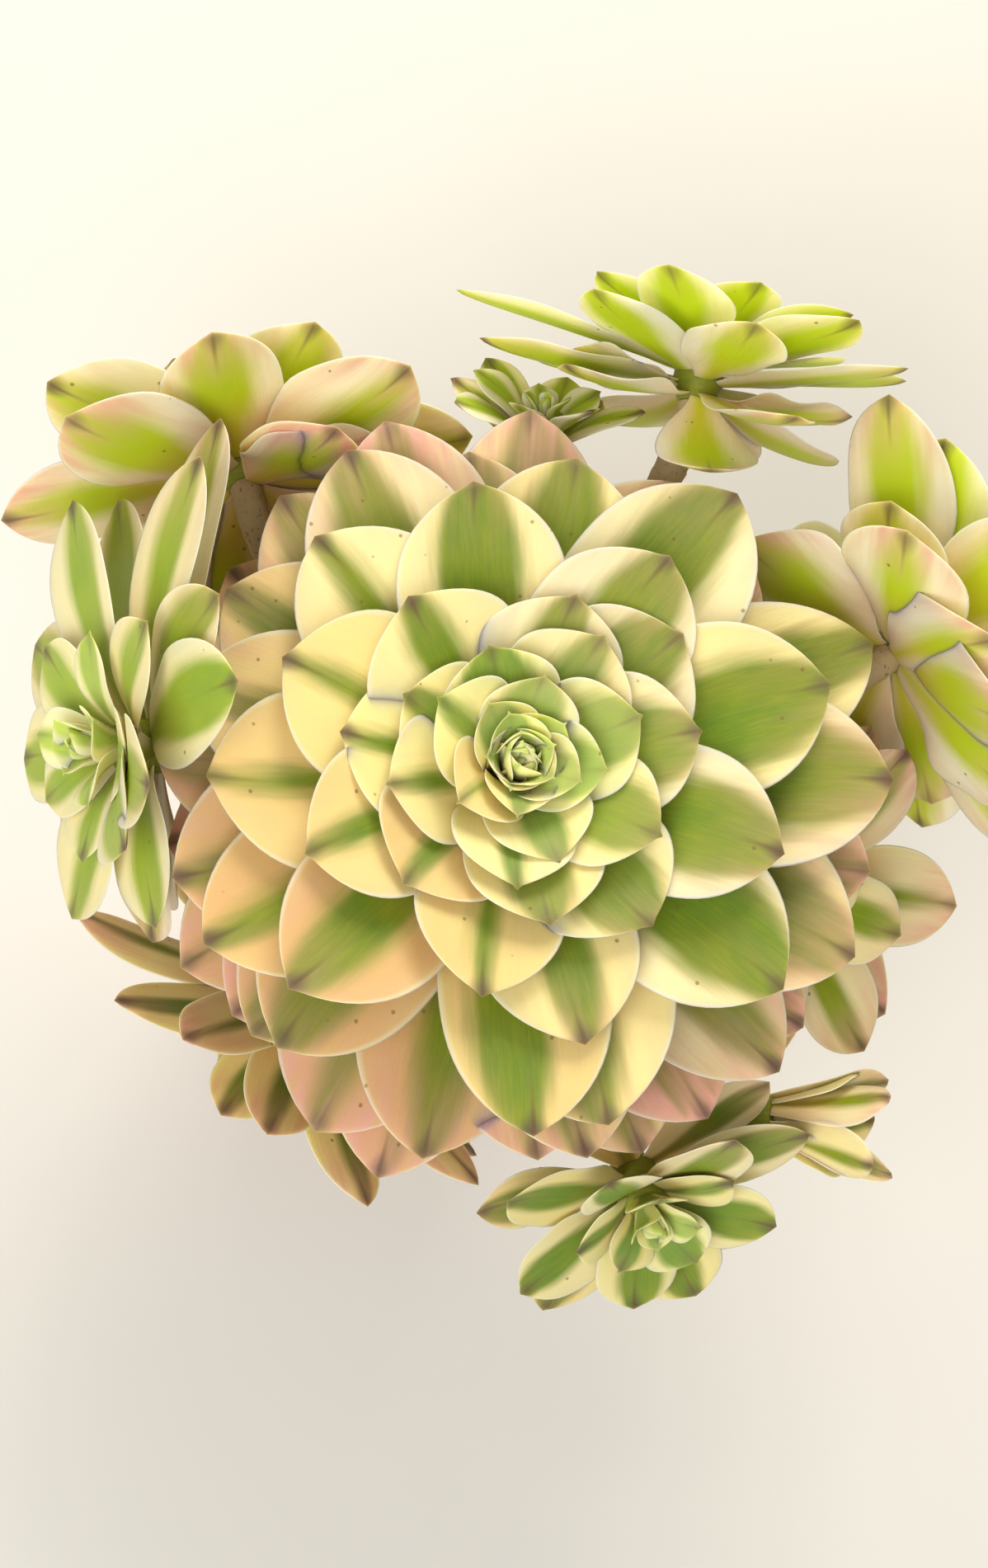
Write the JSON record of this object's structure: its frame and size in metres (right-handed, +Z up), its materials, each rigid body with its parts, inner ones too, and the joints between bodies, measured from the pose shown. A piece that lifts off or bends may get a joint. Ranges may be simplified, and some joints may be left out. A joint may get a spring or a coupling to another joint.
{
  "type": "potted aeonium",
  "caption": "Variegated aeonium standing in a round clay pot: one broad flat rosette of overlapping cream-edged leaves with smaller rosettes on branches around it.",
  "frame": {"origin": "middle of the pot's flat underside", "axes": "+Z up along the trunk, +X to the right and +Y away from the viewer as the plant is seen from above in the picture"},
  "size_m": [0.291, 0.2768, 0.287],
  "materials": {
    "clay": "matt unglazed terracotta",
    "potting_mix": "rough, granular",
    "bark": "dry, ringed with leaf scars",
    "leaf": "satin, waxy, cream margins and green middle"
  },
  "bodies": {
    "root": {"pot": "clay", "soil": "potting_mix", "trunk_and_branches": "bark", "rosette_main": "leaf", "rosette_left": "leaf", "rosette_bottom": "leaf", "rosette_upper_right": "leaf", "rosette_top": "leaf", "rosette_upper_left": "leaf", "rosette_right": "leaf", "rosette_lower_left": "leaf", "rosette_lower_right": "leaf", "rosette_small_top": "leaf"}
  },
  "joints": []
}
